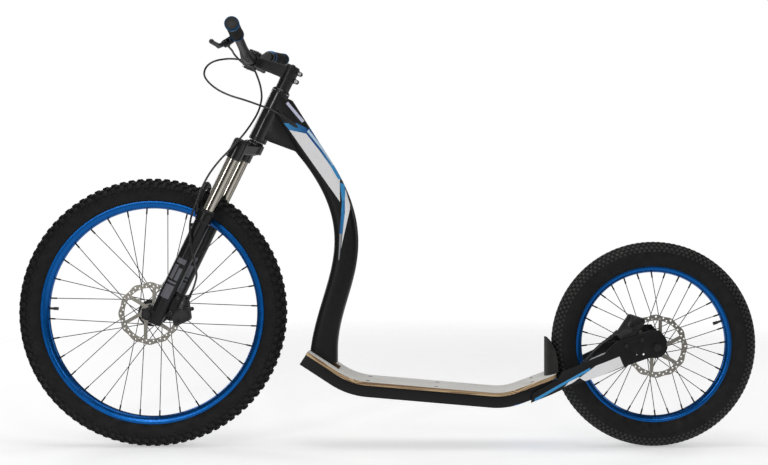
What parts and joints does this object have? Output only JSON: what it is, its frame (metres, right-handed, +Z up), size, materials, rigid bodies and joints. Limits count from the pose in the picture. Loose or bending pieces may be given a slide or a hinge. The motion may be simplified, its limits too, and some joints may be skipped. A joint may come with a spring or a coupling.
{
  "type": "kick scooter",
  "caption": "Adult kick scooter with large wire-spoked wheels, a suspension fork, a curved main tube, a low plywood deck and disc brakes.",
  "frame": {"origin": "on the ground, midway along the length and width", "axes": "-X is forward, -Y is the rider's left, +Z is up"},
  "size_m": [1.8878, 0.7296, 1.0502],
  "materials": {
    "frame_black": "gloss black powder coat",
    "deck_plywood": "white coated birch plywood",
    "plated_steel": "zinc plated",
    "guard_plastic": "dark grey, satin",
    "part_black": "black anodised",
    "bearing_steel": "ground",
    "hose_black": "smooth",
    "soft_rubber": "matt",
    "bare_aluminium": "machined",
    "fork_gloss": "gloss black",
    "stanchion_nickel": "warm nickel plated",
    "bar_black": "satin black",
    "grip_rubber": "matt",
    "anodised_blue": "blue anodised",
    "plug_plastic": "matt black",
    "spring_steel": "oiled",
    "fork_lower_black": "satin black paint",
    "lever_black": "satin black",
    "brake_lining": "sintered",
    "tyre_rubber": "matt",
    "tube_rubber": "talced",
    "rim_blue": "blue anodised",
    "spoke_black": "black",
    "rotor_steel": "brushed",
    "black_steel": "black oxide"
  },
  "bodies": {
    "frame": {"head_tube": "frame_black", "main_tube": "frame_black", "head_gusset": "frame_black", "deck_base": "frame_black", "left_stay": "frame_black", "right_stay": "frame_black", "deck_board": "deck_plywood", "deck_bolts": "plated_steel", "heel_guard": "guard_plastic", "headset_cups": "part_black", "headset_bearings": "bearing_steel", "rear_axle": "plated_steel", "rear_caliper": "part_black", "rear_brake_hose": "hose_black", "hose_grommets": "soft_rubber"},
    "steering_part": {"steerer_tube": "bare_aluminium", "fork_crown": "fork_gloss", "stanchions": "stanchion_nickel", "fork_top_caps": "part_black", "stem_spacers": "part_black", "top_cap": "part_black", "stem": "part_black", "stem_faceplate": "part_black", "stem_bolts": "plated_steel", "handlebar": "bar_black", "grips": "grip_rubber", "lock_rings": "anodised_blue", "bar_end_plugs": "plug_plastic", "left_lever_mount": "part_black", "right_lever_mount": "part_black", "front_brake_hose": "hose_black", "fork_spring": "spring_steel", "damper_cartridge": "bare_aluminium"},
    "fork_slider": {"fork_lowers": "fork_lower_black", "fork_seals": "soft_rubber", "fork_rods": "plated_steel", "front_axle": "plated_steel", "front_caliper": "part_black"},
    "front_wheel": {"front_tyre": "tyre_rubber", "front_inner_tube": "tube_rubber", "front_rim": "rim_blue", "front_spokes": "spoke_black", "front_hub": "part_black", "front_bearings": "bearing_steel", "front_rotor": "rotor_steel", "front_rotor_bolts": "black_steel"},
    "rear_wheel": {"rear_tyre": "tyre_rubber", "rear_inner_tube": "tube_rubber", "rear_rim": "rim_blue", "rear_spokes": "spoke_black", "rear_hub": "part_black", "rear_bearings": "bearing_steel", "rear_rotor": "rotor_steel", "rear_rotor_bolts": "black_steel"},
    "left_lever": {"left_brake_lever": "lever_black"},
    "right_lever": {"right_brake_lever": "lever_black"},
    "front_arm": {"front_caliper_arm": "lever_black"},
    "rear_arm": {"rear_caliper_arm": "lever_black"},
    "front_pad": {"front_moving_pad": "brake_lining"},
    "rear_pad": {"rear_moving_pad": "brake_lining"}
  },
  "joints": [
    {"name": "steering", "type": "hinge", "parent": "frame", "child": "steering_part", "pos_m": [-0.55966, 0, 0.32283], "axis": [0.4384, 0, 0.8988], "range_deg": [-50, 50], "deforming": ["rear_brake_hose"]},
    {"name": "fork_travel", "type": "slide", "parent": "steering_part", "child": "fork_slider", "axis": [0.4384, 0, 0.8988], "range_m": [0, 0.1], "stiffness_N_per_m": 8000, "springref_m": -0.02, "deforming": ["front_brake_hose", "fork_spring"]},
    {"name": "front_wheel_spin", "type": "hinge", "parent": "fork_slider", "child": "front_wheel", "pos_m": [-0.601, 0, 0.343], "axis": [0, 1, 0], "continuous": true},
    {"name": "rear_wheel_spin", "type": "hinge", "parent": "frame", "child": "rear_wheel", "pos_m": [0.682, 0, 0.262], "axis": [0, 1, 0], "continuous": true},
    {"name": "left_lever_pull", "type": "hinge", "parent": "steering_part", "child": "left_lever", "pos_m": [-0.36896, -0.22642, 1.00486], "axis": [-0.5877, -0.0161, 0.8089], "range_deg": [0, 15], "stiffness_Nm_per_rad": 1.2, "springref_deg": -14.32},
    {"name": "right_lever_pull", "type": "hinge", "parent": "steering_part", "child": "right_lever", "pos_m": [-0.36896, 0.22642, 1.00486], "axis": [0.5877, -0.0161, -0.8089], "range_deg": [0, 15], "stiffness_Nm_per_rad": 1.2, "springref_deg": -14.32},
    {"name": "front_arm_swing", "type": "hinge", "parent": "fork_slider", "child": "front_arm", "pos_m": [-0.51584, -0.05, 0.35497], "axis": [0, -1, 0], "range_deg": [0, 20]},
    {"name": "rear_arm_swing", "type": "hinge", "parent": "frame", "child": "rear_arm", "pos_m": [0.6107, -0.068, 0.31009], "axis": [0, -1, 0], "range_deg": [0, 20]},
    {"name": "front_pad_slide", "type": "slide", "parent": "fork_slider", "child": "front_pad", "axis": [0, 1, 0], "range_m": [0, 0.0004]},
    {"name": "rear_pad_slide", "type": "slide", "parent": "frame", "child": "rear_pad", "axis": [0, 1, 0], "range_m": [0, 0.0004]}
  ],
  "couplings": [
    {"joint": "front_arm_swing", "follows": "left_lever_pull", "ratio": 1.333},
    {"joint": "front_pad_slide", "follows": "left_lever_pull", "m_per_rad": 0.0014897},
    {"joint": "rear_arm_swing", "follows": "right_lever_pull", "ratio": 1.333},
    {"joint": "rear_pad_slide", "follows": "right_lever_pull", "m_per_rad": 0.0014897}
  ]
}
